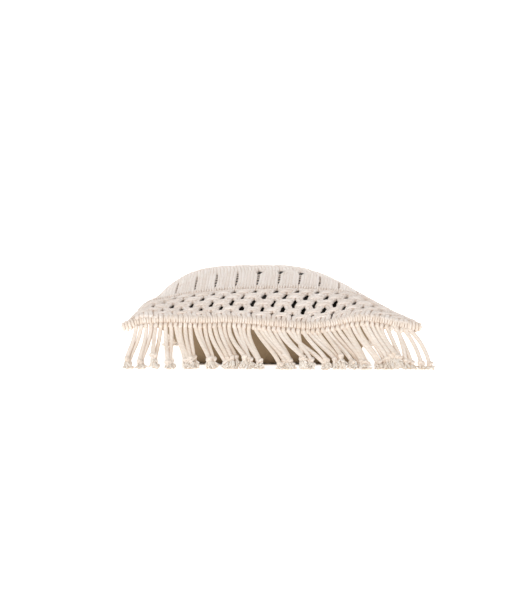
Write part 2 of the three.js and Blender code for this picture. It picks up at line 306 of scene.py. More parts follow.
def noise(tree, vector, scale, detail=3.0, rough=0.55):
    n = tree.nodes.new("ShaderNodeTexNoise")
    n.inputs["Scale"].default_value = scale
    n.inputs["Detail"].default_value = detail
    n.inputs["Roughness"].default_value = rough
    link(tree, vector, n.inputs["Vector"])
    return n.outputs["Fac"]


def mix(tree, fac, a, b):
    """Colour a where fac is 0 and b where it is 1."""
    n = tree.nodes.new("ShaderNodeMix")
    n.data_type = "RGBA"
    for sock, x in ((n.inputs[0], fac), (n.inputs[6], a), (n.inputs[7], b)):
        if isinstance(x, tuple):
            sock.default_value = (*x, 1)
        else:
            link(tree, x, sock)
    return n.outputs[2]


def bump(tree, height, strength, distance):
    n = tree.nodes.new("ShaderNodeBump")
    n.inputs["Strength"].default_value = strength
    n.inputs["Distance"].default_value = distance
    link(tree, height, n.inputs["Height"])
    return n.outputs[0]


def plus(tree, a, b, clamp=False):
    return math_node(tree, "ADD", a, b, clamp)


def minus(tree, a, b, clamp=False):
    return math_node(tree, "SUBTRACT", a, b, clamp)


def times(tree, a, b, clamp=False):
    return math_node(tree, "MULTIPLY", a, b, clamp)


def past(tree, value, start, gain):
    """How far value is past start, times gain; nothing short of it."""
    return times(tree, minus(tree, value, start, clamp=True), gain)


PLIES = 3.0
TWIST_RATE = 1.35  # turns of a ply in one unit of the map, so one turn of the cord in 22 mm
FIBRES_ACROSS, FIBRES_ALONG = 9.0, 1.4
CREVICE_REACH = 0.009  # m: cord this close to its neighbours gets painted crevice shade
WEAVE_SKEW = (0.35, 0.9)  # how Z joins in, so that the weave runs on over steep cloth


def cord_material(name, dark, light, shade_and_fleck, twist=0.2):
    """Twisted cotton cord: slanted plies and fibres along them; painted shade in the grooves between plies
    and in crevices, with darker fibres and blotches.
    """
    mat, tree, bsdf = node_material(name)
    uv = tree.nodes.new("ShaderNodeUVMap")
    uv.uv_map = "cord"
    sep = tree.nodes.new("ShaderNodeSeparateXYZ")
    link(tree, uv.outputs[0], sep.inputs[0])
    around, along = sep.outputs[0], sep.outputs[1]
    turn = plus(tree, times(tree, around, PLIES), times(tree, along, TWIST_RATE))
    ply = math_node(tree, "ABSOLUTE", math_node(tree, "SINE", times(tree, turn, math.pi)))
    ply = math_node(tree, "POWER", ply, 0.6)
    vec = tree.nodes.new("ShaderNodeCombineXYZ")
    link(tree, times(tree, turn, FIBRES_ACROSS), vec.inputs[0])
    link(tree, times(tree, along, FIBRES_ALONG), vec.inputs[1])
    fibre = noise(tree, vec.outputs[0], 2.2, 4.0, 0.65)
    coords = tree.nodes.new("ShaderNodeTexCoord")
    blotch = noise(tree, coords.outputs["Object"], 38.0, 2.0)
    tone = tree.nodes.new("ShaderNodeAttribute")
    tone.attribute_name = "tone"
    crevice_shade_ao = tree.nodes.new("ShaderNodeAmbientOcclusion")
    crevice_shade_ao.inputs["Distance"].default_value = CREVICE_REACH
    crevice_shade_ao.samples = 6
    base = ramp(tree, tone.outputs["Fac"], [(0.0, dark), (1.0, light)])
    for darker in (
        # painted shade in the grooves between the plies
        times(tree, minus(tree, 1.0, ply), 0.22),
        past(tree, fibre, 0.42, 0.9),
        past(tree, blotch, 0.5, 0.9),
        # painted shade where the cord lies close to its neighbours
        past(tree, 0.62, crevice_shade_ao.outputs["AO"], 1.5),
    ):
        base = mix(tree, darker, base, shade_and_fleck)
    link(tree, base, bsdf.inputs["Base Color"])
    height = plus(tree, times(tree, ply, twist), times(tree, fibre, 0.45))
    link(tree, bump(tree, height, 0.55, 0.0009), bsdf.inputs["Normal"])
    rough = plus(tree, times(tree, fibre, 0.18), 0.78)
    link(tree, rough, bsdf.inputs["Roughness"])
    bsdf.inputs["Sheen Weight"].default_value = 0.3
    bsdf.inputs["Sheen Roughness"].default_value = 0.5
    bsdf.inputs["Specular IOR Level"].default_value = 0.2
    return mat


def canvas_material(name, light, dark, thread_mm=0.9):
    """Plain weave: over-and-under threads in X and Y with slubs and a soft mottle."""
    mat, tree, bsdf = node_material(name)
    coords = tree.nodes.new("ShaderNodeTexCoord")
    sep = tree.nodes.new("ShaderNodeSeparateXYZ")
    link(tree, coords.outputs["Object"], sep.inputs[0])
    k = math.pi / (thread_mm * MM)
    across, along = (plus(tree, sep.outputs[i], times(tree, sep.outputs[2], WEAVE_SKEW[i])) for i in (0, 1))
    sx, sy = (math_node(tree, "SINE", times(tree, way, k)) for way in (across, along))
    weave = times(tree, sx, sy)
    slubs = noise(tree, coords.outputs["Object"], 420.0, 2.0)
    mottle = noise(tree, coords.outputs["Object"], 22.0, 3.0)
    fac = plus(tree, times(tree, weave, 0.22), 0.5)
    fac = plus(tree, fac, times(tree, minus(tree, slubs, 0.5), 0.5))
    fac = plus(tree, fac, times(tree, minus(tree, mottle, 0.5), 0.9), clamp=True)
    link(tree, ramp(tree, fac, [(0.0, dark), (1.0, light)]), bsdf.inputs["Base Color"])
    height = plus(tree, weave, times(tree, slubs, 0.8))
    link(tree, bump(tree, height, 0.6, 0.0005), bsdf.inputs["Normal"])
    rough = plus(tree, times(tree, slubs, 0.1), 0.85)
    link(tree, rough, bsdf.inputs["Roughness"])
    bsdf.inputs["Sheen Weight"].default_value = 0.15
    bsdf.inputs["Specular IOR Level"].default_value = 0.2
    return mat


def metal_material(name, light, dark):
    """Satin zip brass with fine scratches and dull patches."""
    mat, tree, bsdf = node_material(name)
    coords = tree.nodes.new("ShaderNodeTexCoord")
    worn = noise(tree, coords.outputs["Object"], 300.0, 4.0)
    link(tree, ramp(tree, worn, [(0.3, dark), (0.7, light)]), bsdf.inputs["Base Color"])
    bsdf.inputs["Metallic"].default_value = 1.0
    rough = plus(tree, times(tree, worn, 0.3), 0.2)
    link(tree, rough, bsdf.inputs["Roughness"])
    link(tree, bump(tree, worn, 0.2, 0.0002), bsdf.inputs["Normal"])
    return mat


# the third colour is the painted shade of grooves and crevices, also used for the darker fibres and
# blotches
CORD = cord_material("cotton_cord", (0.865, 0.78, 0.715), (0.925, 0.862, 0.815), (0.66, 0.49, 0.36))
# copy of the cotton cord, darker and tanner: painted shade for the edge bars and the fringe
CORD_PAINTED_SHADE = cord_material("cotton_cord_painted_shade", (0.84, 0.745, 0.65), (0.90, 0.825, 0.755), (0.62, 0.43, 0.29))
TUFT = cord_material("cotton_tuft", (0.84, 0.76, 0.67), (0.95, 0.91, 0.86), (0.62, 0.49, 0.37), twist=0.15)
# near-black lining: painted shade that stands in for the shadow seen through the holes of the knotwork
LINING_PAINTED_SHADE = canvas_material("lining_canvas", (0.035, 0.026, 0.02), (0.012, 0.009, 0.007))
KHAKI = canvas_material("base_canvas", (0.36, 0.265, 0.165), (0.25, 0.175, 0.105))
TICKING = canvas_material("ticking", (0.85, 0.83, 0.79), (0.72, 0.70, 0.66), thread_mm=0.6)
TAPE = canvas_material("zip_tape", (0.30, 0.22, 0.14), (0.2, 0.15, 0.09), thread_mm=0.7)
BRASS = metal_material("zip_brass", (0.72, 0.58, 0.32), (0.42, 0.33, 0.18))


# ---------------------------------------------------------------- knotwork
KNOT_CORD = 3.1  # radius of the cord in the knots
KNOT_HALF_WIDTH = 10.4
FULL_KNOT = 5.6  # half the height of a knot whose bars are as thick as KNOT_CORD
PITCH = 2 * FRINGE_HALF / COLUMNS
OUTER_COLUMN = FRINGE_HALF - 11
NET_ROWS = (0.97, 0.93, 0.866, 0.8, 0.744)
SHEAR = 0.55  # knots lean to the right as they rise
# across the column, where the cords between two knots start and end
CORD_WAYS = ((-8.4, -14.2), (-2.8, -7.8), (3.6, 9.4), (9.2, 15.2))
PER_COLUMN = 6  # cords of the band and crown in one column
SLIT = 4.6  # width of a slit at its widest
COLUMN_GAP = 0.25  # between the columns of the crown
SLIT_HOLES = (-PITCH, 0.0, PITCH)  # slits that end in an open hole at the crown
HOLE_V, HOLE_LENGTH = 0.405, 0.03
HOLE_RIGHT, HOLE_LEFT = 10.0, -4.0  # how far the hole's cords are pushed aside
SELVEDGE = ((249.0, 1.6), (245.2, 3.0), (241.2, 3.4))  # across, height
WRAPS = CORDS * 2  # each cord is hitched twice round a bar
BAR_RADIUS = 3.7  # of the hitches on an inner bar
BAR_ENDS = ((2.2, 6.2), (7.6, 7.1), (13.2, 7.2), (18.8, 5.6))  # wraps past the fringe: place, size


def v_per_mm(v):
    """Change of v for one millimetre along the surface at the middle of the cover."""
    step = 1e-3
    a = np.zeros(1)
    p, _ = on_cover(a, np.array([-v - step]), a)
    q, _ = on_cover(a, np.array([-v + step]), a)
    return 2 * step / float(np.linalg.norm(q - p))


def lay(tubes, side, cx, cv, x, y, h, radius, vmm, sides=8):
    """Tubes whose local points x, y, h (mm; steps) stand at each knot centre cx, cv.
    Side is -1 for the front half and 1 for the rear; y runs inwards from the edge."""
    a = -side * (cx[:, None] + x)
    v = side * (cv[:, None] - y * vmm)
    P, N = on_cover(a, v, np.broadcast_to(h, a.shape))
    tubes.add(P, N, radius, sides=sides)


def square_knots(tubes, side, cx, cv, vmm, half_width, half_height):
    """Square knots at cx, cv: two bars over the fillers and a loop at each side."""
    n = len(cx)
    t = np.linspace(-1, 1, 11)
    jig = rng.normal(0, 0.4, (n, 1))
    puff = rng.uniform(0.9, 1.12, (n, 1))
    for k in (-1, 1):
        y = k * half_height * 0.48 + t * 1.5 + rng.normal(0, 0.35, (n, 1))
        x = t * (half_width - 1.0) + SHEAR * y + jig
        h = 2.2 + 5.2 * puff * np.sqrt(np.clip(1 - (t * 0.98) ** 2, 0, 1))
        lay(tubes, side, cx, cv, x, y, h, KNOT_CORD * half_height / FULL_KNOT, vmm)
        ly = t * half_height * 0.95 + rng.normal(0, 0.4, (n, 1))
        lx = k * (half_width - 0.8 + 1.6 * np.cos(t * math.pi / 2)) + SHEAR * ly + jig
        lh = 2.8 + 2.2 * puff * np.cos(t * math.pi / 2)
        lay(tubes, side, cx, cv, lx, ly, lh, KNOT_CORD * 0.86, vmm)


def columns(offset):
    """Middles of the columns, or of the knots between them in an offset row."""
    k = np.arange(COLUMNS + 1 if offset else COLUMNS)
    x = -FRINGE_HALF + (k + (0 if offset else 0.5)) * PITCH
    return np.clip(x, -OUTER_COLUMN, OUTER_COLUMN)


def spaced(count):
    """Middles of count equal steps over the width of the fringe."""
    return -FRINGE_HALF + (np.arange(count) + 0.5) * 2 * FRINGE_HALF / count


def add_selvedge(tubes, side, v0, v1, radius=3.1, lift=0.0):
    """Three cords down each plain side, between the last column and the whipped rim."""
    v = side * np.linspace(v0, v1, 12 + int(100 * abs(v0 - v1)))
    for end in (1, -1):
        for across, height in SELVEDGE:
            a = np.full((1, len(v)), end * across)
            P, N = on_cover(a, v[None] + 0 * a, np.full_like(a, height + lift))
            tubes.add(P, N, radius, sides=8)


def make_net(side):
    """Net of alternating square knots between the edge bar and the inner bar."""
    tubes = Tubes()
    rows = (*NET_ROWS, NET_INNER - 0.014)
    for r, v in enumerate(NET_ROWS):
        vmm = v_per_mm(v)
        step = (v - rows[r + 1]) / vmm
        before = 12.0 if r == 0 else (rows[r - 1] - v) / vmm
        cx = columns(r % 2 == 1) + rng.normal(0, 0.5, COLUMNS + r % 2)
        cv = np.full(len(cx), v) + rng.normal(0, 0.0016, len(cx))
        still = 0 * cx[:, None]
        high = min(7.0, 0.5 * min(step, before) * (0.72 if r < 2 else 0.8))
        square_knots(tubes, side, cx, cv, vmm, KNOT_HALF_WIDTH, high)
        # the four cords into the next row: fillers and workers part left and right
        t = np.linspace(0, 1, 7)
        ease = t * t * (3 - 2 * t)
        for start, end in CORD_WAYS:
            x = start + (end - start) * ease
            y = high * 0.5 + t * (step - high)
            h = 3.0 + 0.9 * np.sin(t * math.pi)
            lay(tubes, side, cx, cv, x + still, y + still, h, 3.7, vmm)
        if r == 0:
            # the cords from the edge bar up to the first row
            for x in (-12.8, -4.3, 4.3, 12.8):
                y = np.linspace(-16.0, 0.0, 6)
                lay(tubes, side, cx, cv, np.full(6, x) + still, y + still, 3.4, 4.5, vmm)
    add_selvedge(tubes, side, NET_EDGE, NET_INNER, 4.2, 3.0)
    return tubes


def make_ribs(side, v0, v1, slit):
    """Close upright cords, with a slit between the columns of six where slit > 0.
    Side 0 is the crown, which runs on from the front half into the rear."""
    tubes = Tubes()
    steps = 16 + int(150 * abs(v0 - v1))
    v = np.linspace(v0, v1, steps)
    centre = columns(False)
    mid, half = (v0 + v1) / 2, (v0 - v1) / 2
    if slit:
        gap = slit * np.clip(1 - ((v - mid) / half) ** 4, 0, 1)
    else:
        gap = np.full(steps, COLUMN_GAP)
    place_in_column = np.arange(PER_COLUMN) - (PER_COLUMN - 1) / 2
    wide = (PITCH - gap)[None, None] / PER_COLUMN
    x = centre[:, None, None] + place_in_column[None, :, None] * wide
    for hole in SLIT_HOLES:
        away = x - hole
        near = np.exp(-(((np.abs(v) - HOLE_V) / HOLE_LENGTH) ** 2))
        push = near * np.where(away > 0, HOLE_RIGHT, HOLE_LEFT)
        x = x + push * np.clip(1 - np.abs(away) / (0.55 * PITCH), 0, 1)
    x = x.reshape(-1, steps)
    n = len(x)
    phase = rng.uniform(0, 6.28, (n, 1))
    run = np.linspace(0, (v0 - v1) * HALF, steps)[None]
    x = x + 0.18 * np.sin(run / 9.0 + phase)
    edge = np.abs(np.tile(place_in_column, COLUMNS))[:, None]
    h = 3.7 - (edge > 2) * 0.5 + 0.15 * np.sin(run / 5.0 + phase)
    radius = (PITCH / PER_COLUMN) * 0.64 * (1 + 0.03 * np.sin(run / 2.2 + phase * 3))
    a = -side * x if side else x
    vv = side * v if side else v
    P, N = on_cover(a, np.broadcast_to(vv, a.shape), h + 0 * a)
    tubes.add(P, N, radius, sides=10, squash=0.85)
    add_selvedge(tubes, side if side else 1, v0, v1)
    if slit:
        # loops of neighbouring columns touch across the slit here and there
        rows = np.linspace(v0 + (v1 - v0) * 0.12, v1 - (v1 - v0) * 0.08, 6)
        gx = (centre[:-1] + centre[1:]) / 2
        cx, cv = (g.ravel() for g in np.meshgrid(gx, rows))
        cv = cv + rng.normal(0, 0.004, len(cx))
        t = np.linspace(-1, 1, 5)
        h = 1.7 + 0.5 * (1 - t * t)
        lay(tubes, side, cx, cv, t * 3.2, t * 0.9, h, 1.5, v_per_mm(BAND_MIDDLE), sides=6)
    return tubes


def make_inner_bar(side):
    """One row of double half hitches: a carrying cord wrapped twice by every cord."""
    tubes = Tubes()
    vc = (NET_INNER + BAND_OUTER) / 2
    vmm = v_per_mm(vc)
    x = spaced(WRAPS)
    ang = np.linspace(0, 2 * math.pi, 13)[:-1]
    a = x[:, None] + 0.9 * np.sin(ang)[None] + rng.normal(0, 0.2, (WRAPS, 1))
    v = vc + (BAR_RADIUS * np.cos(ang) * vmm)[None] + 0 * a
    h = 4.4 + BAR_RADIUS * np.sin(ang)[None] + 0 * a
    P, _ = on_cover(-side * a, side * v, h)
    tubes.add(P, np.array([1.0, 0, 0]), 2.15, sides=7, closed=True, caps=False)
    line = np.linspace(-FRINGE_HALF - 4, FRINGE_HALF + 4, 80)[None]
    P, N = on_cover(line, np.full_like(line, side * vc), np.full_like(line, 4.6))
    tubes.add(P, N, 2.8, sides=8)
    return tubes


def bar_height(x, flip):
    x = np.asarray(x, float)
    return np.full_like(x, SEAM) if flip else smooth_line(x, BAR_X, BAR_Z)


def bar_point(x, flip):
    """Middle of an edge bar; the rear one is built in front and then turned."""
    x = np.asarray(x, float)
    return np.stack([x, np.full_like(x, -HALF), bar_height(x, flip)], -1)


def bar_direction(x, flip):
    return unit(bar_point(x + 2, flip) - bar_point(x - 2, flip))


def ring_at(centre, tangent, ry, rz, tilt, steps=16):
    """Closed rings round the bar at each centre; tilt slides them along it."""
    ang = np.linspace(0, 2 * math.pi, steps + 1)[:-1]
    out = np.array([0.0, -1.0, 0.0])
    up = np.cross(out, tangent)
    up = unit(np.where(up[..., 2:] < 0, -up, up))
    return (
        centre[:, None]
        + (np.cos(ang) * ry)[None, :, None] * out
        + (np.sin(ang) * rz)[None, :, None] * up[:, None]
        + (tilt * np.cos(ang))[None, :, None] * tangent[:, None]
    )


def make_edge_bar(flip):
    """Row of hitches round a thick core, a purl under each cord, and wrapped ends."""
    tubes = Tubes()
    x = spaced(WRAPS)
    x = x + rng.normal(0, 0.25, WRAPS)
    c = bar_point(x, flip)
    tangent = bar_direction(x, flip)
    jig = rng.normal(0, 0.22, (WRAPS, 3))
    P = ring_at(c + np.array([0.0, 0.0, 0.8]) + jig, tangent, 5.8, 5.9, 1.0, 18)
    tubes.add(P, tangent[:, None] + 0 * P, 2.2, sides=8, closed=True, caps=False)
    line = np.linspace(-FRINGE_HALF - 16, FRINGE_HALF + 16, 90)
    tubes.add(bar_point(line, flip)[None], np.array([0, -1.0, 0]), 5.2, sides=12)
    # purls: the bight of each cord shows as a bead along the lower front
    px = spaced(CORDS)
    t = np.linspace(-1, 1, 7)
    bead = np.stack([0.5 * t, -5.0 - 1.5 * (1 - t * t), -9.4 + 2.2 * t], -1)
    bead = bar_point(px, flip)[:, None] + bead
    bead = bead + rng.normal(0, 0.25, (CORDS, 1, 3))
    tubes.add(bead, np.array([1.0, -0.7, 0.0]), 3.6, sides=10)
    for side in (-1, 1):
        for past_fringe, size in BAR_ENDS:
            x = np.array([side * (FRINGE_HALF + past_fringe)])
            tangent = bar_direction(x, flip)
            P = ring_at(bar_point(x, flip), tangent, size * 0.9, size, 0.8)
            tubes.add(P, tangent[None] + 0 * P, 2.75, sides=9, closed=True, caps=False)
        core = bar_point(side * (FRINGE_HALF + np.linspace(0, 22, 6)), flip)
        taper = np.array([[6, 6.4, 6.4, 6, 5, 3.4]])
        tubes.add(core[None], np.array([0, -1.0, 0]), taper, sides=12)
    return tubes


def turned(tubes):
    """The same tubes for the rear edge, turned half a turn about the vertical."""
    for k, v in enumerate(tubes.verts):
        tubes.verts[k] = v * np.array([-1.0, -1.0, 1.0])
    return tubes


def place(tubes, name, node, material=CORD):
    """Builds a piece of the cover in place of its CAD node."""
    obj = tubes.build(name, material)
    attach(obj, "cushion")
    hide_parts(node)


# the band and the crown overlap a little, inwards of BAND_INNER
BAND = (BAND_OUTER - 0.004, BAND_INNER - 0.03)
for end, side in (("front", -1), ("rear", 1)):
    place(make_net(side), f"knotted_net_{end}", f"net_{end}")
    place(make_inner_bar(side), f"hitched_inner_bar_{end}", f"inner_bar_{end}")
    place(make_ribs(side, *BAND, SLIT), f"sennits_{end}", f"sennit_band_{end}")
    bar = make_edge_bar(side > 0)
    place(turned(bar) if side > 0 else bar, f"hitched_edge_bar_{end}", f"edge_bar_{end}", CORD_PAINTED_SHADE)
place(make_ribs(0, -BAND_INNER + 0.02, BAND_INNER - 0.02, 0), "knotted_crown", "crown_panel")

SIDE_HALF, WHIPPED_HALF, TURNS = 234, 231, 50


def make_side_cord(side):
    """Two cords along a plain side, with a finer one whipped round them and the cover's rim."""
    tubes = Tubes()
    y = np.linspace(-SIDE_HALF, SIDE_HALF, 160)
    v = y / HALF
    x = side * (plan_x(np.ones_like(v), v) + 3.4)
    z = SEAM + wave(x, v)
    for inwards, higher, radius in ((0.0, 0.0, 3.0), (2.0, 6.4, 3.5)):
        line = np.stack([x - side * inwards, y, z + higher], -1)
        tubes.add(line[None], np.array([0, 0, 1.0]), radius, sides=10)
    t = np.linspace(0, 1, TURNS * 14)
    y = -WHIPPED_HALF + 2 * WHIPPED_HALF * t
    v = y / HALF
    x = side * (plan_x(np.ones_like(v), v) + 0.6 + 5.4 * np.cos(t * TURNS * 2 * math.pi))
    z = SEAM + wave(x, v) + 2.5 + 8.0 * np.sin(t * TURNS * 2 * math.pi)
    tubes.add(np.stack([x, y, z], -1)[None], np.array([0, 1.0, 0.2]), 1.5, sides=7)
    return tubes


for name, side in (("left", -1), ("right", 1)):
    place(make_side_cord(side), f"whipped_side_cord_{name}", f"side_cord_{name}")

# ---------------------------------------------------------------- fringe
# out, z, share of the sweep: from the bar to the knot
PROFILE = np.array(
    [(3, 69, 0), (5.5, 61, 0.06), (10, 51, 0.22), (17, 38, 0.48), (25, 26, 0.74), (31, 14, 0.95)]
)
PER_BUNDLE = 8
BUNDLES = CORDS // PER_BUNDLE
CROSSING = (31, 33)  # these two cords cross
OPENING = 24  # the wide opening lies to the left of this cord
OPENING_BOW = {-2: -1.5, -1: -3.0, 0: 6.0, 1: 4.5, 2: 2.5}  # sideways bow of the cords beside it
# where the last ten cords reach the floor: a raised cluster, then four well apart
RIGHT_ENDS = np.array([196, 201, 206, 212, 217, 223, 231, 243, 258, 274.0])
RIGHT_HIGH = (4, 7, 12, 15, 12, 8, 3, 0, -1, -2)  # how high they hang
PAIRED = 8  # the first cords end in pairs
REAR_LEAN = 0.15  # the rear fringe keeps this share of the sweep
FRINGE_CORD, KNOT_LOOP = 3.75, 2.75  # radii
STRANDS = 38  # in one frayed end
STRAND = np.array([1.2, 1.35, 1.45, 1.5, 1.5, 1.3])  # its radius along its length


def spline(points, n):
    t = np.linspace(0, len(points) - 1, n)
    k = np.arange(len(points))
    return np.stack([smooth_line(t, k, points[:, c]) for c in range(points.shape[1])], -1)


def sweep_at(x):
    """How far the cords that leave the bar at x are swept to the right at the floor."""
    s = x / FRINGE_HALF
    edge = np.clip((-s - 0.62) / 0.3, 0, 1)
    return 35 + 20 * s - 16 * s * s - 20 * edge


def overhand(centre, size, turn_angle, lean):
    """Centreline of a small overhand knot."""
    t = np.linspace(0, 2 * math.pi, 31)[:-1]
    x = np.sin(t) + 2 * np.sin(2 * t)
    y = np.cos(t) - 2 * np.cos(2 * t)
    z = -np.sin(3 * t) * 1.35
    P = np.stack([x, z, y], -1) * size
    c, s = math.cos(turn_angle), math.sin(turn_angle)
    P = P @ np.array([[c, -s, 0], [s, c, 0], [0, 0, 1]]).T
    c, s = math.cos(lean), math.sin(lean)
    return centre + P @ np.array([[c, 0, s], [0, 1, 0], [-s, 0, c]]).T


def fringe_plan(flip):
    """Where each cord starts and ends, which hang further back, how high their knots
    are and how much they arch. Groups of knots huddle together."""
    x = spaced(CORDS)
    end = x + sweep_at(x) * (REAR_LEAN if flip else 1) + rng.normal(0, 2.0, CORDS)
    k = 0
    while k < CORDS:
        n = 2 if k < PAIRED else int(rng.integers(1, 5))
        group = slice(k, min(k + n, CORDS))
        pull = 0.8 if k < PAIRED else rng.uniform(0.35, 0.7)
        end[group] += (end[group].mean() - end[group]) * pull
        k += n
    back = rng.random(CORDS) < 0.17
    high = rng.uniform(-3, 6, CORDS) + 9 * (rng.random(CORDS) < 0.12)
    if not flip:
        end[OPENING - 3 : OPENING] += (-6, -7, -8)
        end[OPENING : OPENING + 3] += (12, 10, 6)
        back[OPENING - 2 : OPENING + 2] = False
        a, b = CROSSING
        end[a], end[b] = end[b] + 9, end[a] - 10
        back[a] = back[b] = False
        end[-10:] = RIGHT_ENDS + rng.normal(0, 0.8, 10)
        high[-10:] = RIGHT_HIGH
        back[-4:] = False
        back[1:PAIRED:2] = True
    return x, end, back, high, rng.normal(0, 0.12, CORDS)


def cord_path(k, flip, plan):
    """Middle line of one cord, from the bar to its knot."""
    starts, ends, backs, highs, archs = plan
    x = starts[k]
    out, z, share = spline(PROFILE, 20).T
    f = np.linspace(0, 1, len(z))
    z = z + (float(bar_height(x, flip)) - SEAM) * (1 - f) + highs[k] * f**2
    reach = rng.normal(0, 0.05) - (0.28 if backs[k] else 0)
    bow = rng.normal(0, 1.3)
    arch = 1.15
    if not flip:
        reach += 0.1 if k == CROSSING[0] else 0
        bow += OPENING_BOW.get(k - OPENING, 0)
        arch -= 0.4 * (x / FRINGE_HALF)
    arch += archs[k]
    if not flip and k > 50:
        arch -= 0.2
    px = x + share**arch * (ends[k] - x) + np.sin(f * math.pi) * bow
    return np.stack([px, -HALF - 3 - (out - 3) * (1 + reach), z], -1)


def frayed_end(centre):
    """Strands that spread from under a knot and rest on the floor."""
    strands = []
    for _ in range(STRANDS):
        az = rng.uniform(0, 2 * math.pi)
        spread = rng.uniform(0.15, 1.0) ** 0.7
        length = (centre[2] - 1.0) * rng.uniform(0.25, 1.05)
        t = np.linspace(0, 1, len(STRAND))[:, None]
        aim = np.array([math.cos(az) * spread * 8.6 + 1.0, math.sin(az) * spread * 8.2 - 1.6, -length])
        curl = rng.normal(0, 1.7, 3) * [1, 1, 0.6]
        line = centre + [0, 0, -2.0] + aim * t + curl * np.sin(t * 5.0 + az) * t
        line[:, 2] = np.maximum(line[:, 2], 1.1 + 3.2 * rng.random())
        strands.append(line)
    return strands


def make_bundle(index, flip, plan):
    """Eight cords of the fringe with their knots and frayed ends."""
    cords, tufts = Tubes(), Tubes()
    paths, knots, strands = [], [], []
    for k in range(index * PER_BUNDLE, (index + 1) * PER_BUNDLE):
        path = cord_path(k, flip, plan)
        lean = math.atan2(path[-1, 0] - path[-4, 0], path[-4, 2] - path[-1, 2]) * 0.5
        size = rng.uniform(1.4, 1.65)
        centre = path[-1] + np.array([0.8, -1.0, -2.5])
        paths.append(path)
        knots.append(overhand(centre, size, rng.uniform(0, 6.28), lean))
        strands += frayed_end(centre)
    cords.add(np.array(paths), np.array([0.3, -1.0, 0.2]), FRINGE_CORD, sides=10)
    knots = np.array(knots)
    knots[..., 2] = np.maximum(knots[..., 2], 2.9)
    cords.add(knots, np.array([0.2, 0.9, 0.4]), KNOT_LOOP, sides=8, closed=True, caps=False)
    tufts.add(np.array(strands), np.array([0.9, 0.2, 0.31]), STRAND, sides=5)
    return cords, tufts


for end, flip in (("front", False), ("rear", True)):
    plan = fringe_plan(flip)
    for i in range(BUNDLES):
        node = f"fringe_{end}_{i + 1}"
        for label, tubes, material in zip(("cords", "tufts"), make_bundle(i, flip, plan), (CORD_PAINTED_SHADE, TUFT)):
            if flip:
                turned(tubes)
            obj = tubes.build(f"fringe_{label}_{end}_{i + 1}", material)
            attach(obj, node)
            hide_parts(node)

# ---------------------------------------------------------------- canvas cover and pad
LINING_DEPTH, CANVAS, BASE_CANVAS = 7.8, 1.2, 1.4
ZIP_V, ZIP_HALF_U, SLOT_HALF_V = 0.89, 0.6, 0.028
RIM_U, RIM_V = 0.985, 0.955
PAD_U, PAD_V = 0.965, 0.94
PAD_TOP_DEPTH, PAD_BASE_DEPTH = 10.6, 6.6
THINNEST = 3  # the pad at its rim
VOXEL = 0.006
PRESSURE, FRAMES = 4.0, 20
FARTHEST = 0.006  # m: no point of the pad moves further in the simulation
PINNED_FROM, PINNED_OVER, PINNED_HALF = 0.93, 0.05, 0.236  # the pad's rim is held
DENT, SWELL = -0.004, 0.0006  # m: how far the pad's skin may leave its form
HOLE_SHIFT, HOLE_RISE, HOLE_REACH = 3.0, 6.0, 7.5  # the near-black lining swells into the open holes, so its painted shade shows there
FLOOR_GAP = 0.15


def shell(us, vs, surface, depth, side):
    """Grid of points on a surface moved square to it by depth; side 1 is upwards."""
    u, v = np.meshgrid(us, vs)
    return surface(u, v) + side * depth * up_normal(surface, u, v)


def grid_faces(rows, cols, base, flip):
    k = base + np.arange(rows * cols).reshape(rows, cols)
    quads = np.stack([k[:-1, :-1], k[:-1, 1:], k[1:, 1:], k[1:, :-1]], -1).reshape(-1, 4)
    return quads[:, ::-1] if flip else quads


def between(upper, lower):
    """Closed mesh between two grids of points, as vertices and faces."""
    rows, cols = upper.shape[:2]
    n = rows * cols
    faces = [grid_faces(rows, cols, 0, False), grid_faces(rows, cols, n, True)]
    k = np.arange(n).reshape(rows, cols)
    loop = np.concatenate([k[0, :-1], k[:-1, -1], k[-1, :0:-1], k[:0:-1, 0]])
    ahead = np.roll(loop, -1)
    faces.append(np.stack([loop, loop + n, ahead + n, ahead], -1))
    return np.concatenate([upper.reshape(-1, 3), lower.reshape(-1, 3)]), np.concatenate(faces)


def new_object(name, verts, faces, material):
    mesh = bpy.data.meshes.new(name)
    mesh.from_pydata((verts * MM).tolist(), [], faces.tolist())
    mesh.update()
    mesh.materials.append(material)
    mesh.polygons.foreach_set("use_smooth", np.ones(len(mesh.polygons), bool))
    obj = bpy.data.objects.new(name, mesh)
    bpy.context.scene.collection.objects.link(obj)
    return obj


def even(limit, count):
    return np.linspace(-limit, limit, count)


def coordinates(mesh):
    out = np.empty(len(mesh.vertices) * 3)
    mesh.vertices.foreach_get("co", out)
    return out.reshape(-1, 3)


def apply_modifiers(obj):
    graph = bpy.context.evaluated_depsgraph_get()
    mesh = bpy.data.meshes.new_from_object(obj.evaluated_get(graph), depsgraph=graph)
    obj.modifiers.clear()
    old = obj.data
    obj.data = mesh
    bpy.data.meshes.remove(old)


